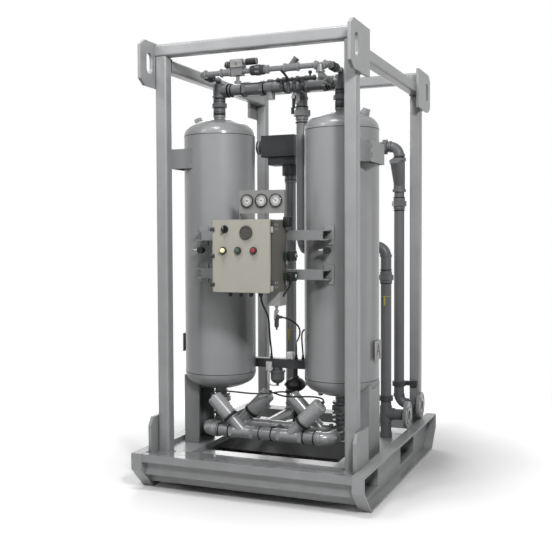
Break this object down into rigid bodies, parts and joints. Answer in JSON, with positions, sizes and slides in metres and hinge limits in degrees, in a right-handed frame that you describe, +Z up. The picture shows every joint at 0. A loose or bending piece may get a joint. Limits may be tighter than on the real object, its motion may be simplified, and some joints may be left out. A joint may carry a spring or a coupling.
{
  "type": "desiccant air dryer",
  "caption": "Skid-mounted desiccant air dryer: adsorption towers, switching valves, flanged piping and a control enclosure inside a welded lifting frame with fork pockets.",
  "frame": {"origin": "middle of the lifting frame on the ground, under the middle of the bounding box", "axes": "+X to the side with the pipe flanges, +Y to the back, +Z up; the control enclosure faces -Y"},
  "size_m": [1.219, 1.614, 2.262],
  "materials": {
    "frame_paint": "satin light gray paint",
    "tower_paint": "satin mid gray paint",
    "pipe_paint": "satin gray paint",
    "dark_metal": "satin black paint",
    "bright_metal": "plain metal",
    "enclosure_paint": "textured beige gray paint",
    "gauge_case": "plain metal with a pale dial",
    "black_plastic": "matte",
    "gasket_rubber": "foam rubber",
    "white_plastic": "matte",
    "lamp_lens": "gloss",
    "green_plastic": "gloss",
    "red_plastic": "gloss",
    "coil_plastic": "matte",
    "bead_fill": "packed beads"
  },
  "bodies": {
    "base": {"skid_rail_left": "frame_paint", "skid_rail_right": "frame_paint", "front_cross_member": "frame_paint", "rear_cross_member": "frame_paint", "tower_sills": "frame_paint", "fork_tubes": "frame_paint", "post_front_left": "frame_paint", "post_front_right": "frame_paint", "post_rear_left": "frame_paint", "post_rear_right": "frame_paint", "end_beams": "frame_paint", "side_beams": "frame_paint", "lifting_lugs": "frame_paint", "post_gussets": "frame_paint", "tower_left": "tower_paint", "tower_right": "tower_paint", "tower_legs": "tower_paint", "desiccant_beds": "bead_fill", "bed_screens": "bright_metal", "fill_plugs": "tower_paint", "side_brackets": "dark_metal", "tie_bar": "dark_metal", "control_struts": "frame_paint", "enclosure_box": "enclosure_paint", "controller_plate": "white_plastic", "gauge_panel": "frame_paint", "pressure_gauges": "gauge_case", "solenoid_valves": "coil_plastic", "junction_box": "white_plastic", "pilot_regulator": "bright_metal", "sample_valves": "dark_metal", "top_fittings": "pipe_paint", "upper_manifold": "pipe_paint", "purge_line": "pipe_paint", "purge_valve": "bright_metal", "ball_valve": "bright_metal", "outlet_drop": "pipe_paint", "crossover_pipes": "pipe_paint", "riser_outlet": "pipe_paint", "riser_inlet": "pipe_paint", "pipe_flanges": "pipe_paint", "pipe_clamps": "dark_metal", "inlet_separator": "dark_metal", "inlet_drop": "pipe_paint", "bottom_fittings": "pipe_paint", "lower_headers": "pipe_paint", "angle_valves": "pipe_paint", "valve_actuators": "bright_metal", "diaphragm_valve": "dark_metal", "drain_bowl": "pipe_paint", "exhaust_silencer": "dark_metal"},
    "door": {"enclosure_door": "enclosure_paint", "door_gasket": "gasket_rubber", "pilot_lamp": "lamp_lens", "button_collars": "bright_metal", "alarm_horn": "black_plastic"},
    "selector": {"selector_knob": "black_plastic"},
    "start": {"start_button": "green_plastic"},
    "stop": {"stop_button": "red_plastic"},
    "lever": {"valve_lever": "bright_metal"}
  },
  "joints": [
    {"name": "door_hinge", "type": "hinge", "parent": "base", "child": "door", "pos_m": [0.149, -0.757, 1.187], "axis": [0, 0, 1], "range_deg": [0, 105]},
    {"name": "selector_turn", "type": "hinge", "parent": "door", "child": "selector", "pos_m": [-0.095, -0.773, 1.316], "axis": [0, -1, 0], "range_deg": [-45, 45]},
    {"name": "start_press", "type": "slide", "parent": "door", "child": "start", "axis": [0, 1, 0], "range_m": [0, 0.004], "stiffness_N_per_m": 300},
    {"name": "stop_press", "type": "slide", "parent": "door", "child": "stop", "axis": [0, 1, 0], "range_m": [0, 0.004], "stiffness_N_per_m": 300},
    {"name": "lever_turn", "type": "hinge", "parent": "base", "child": "lever", "pos_m": [0.096, -0.345, 1.998], "axis": [0, 1, 0], "range_deg": [0, 90]}
  ]
}
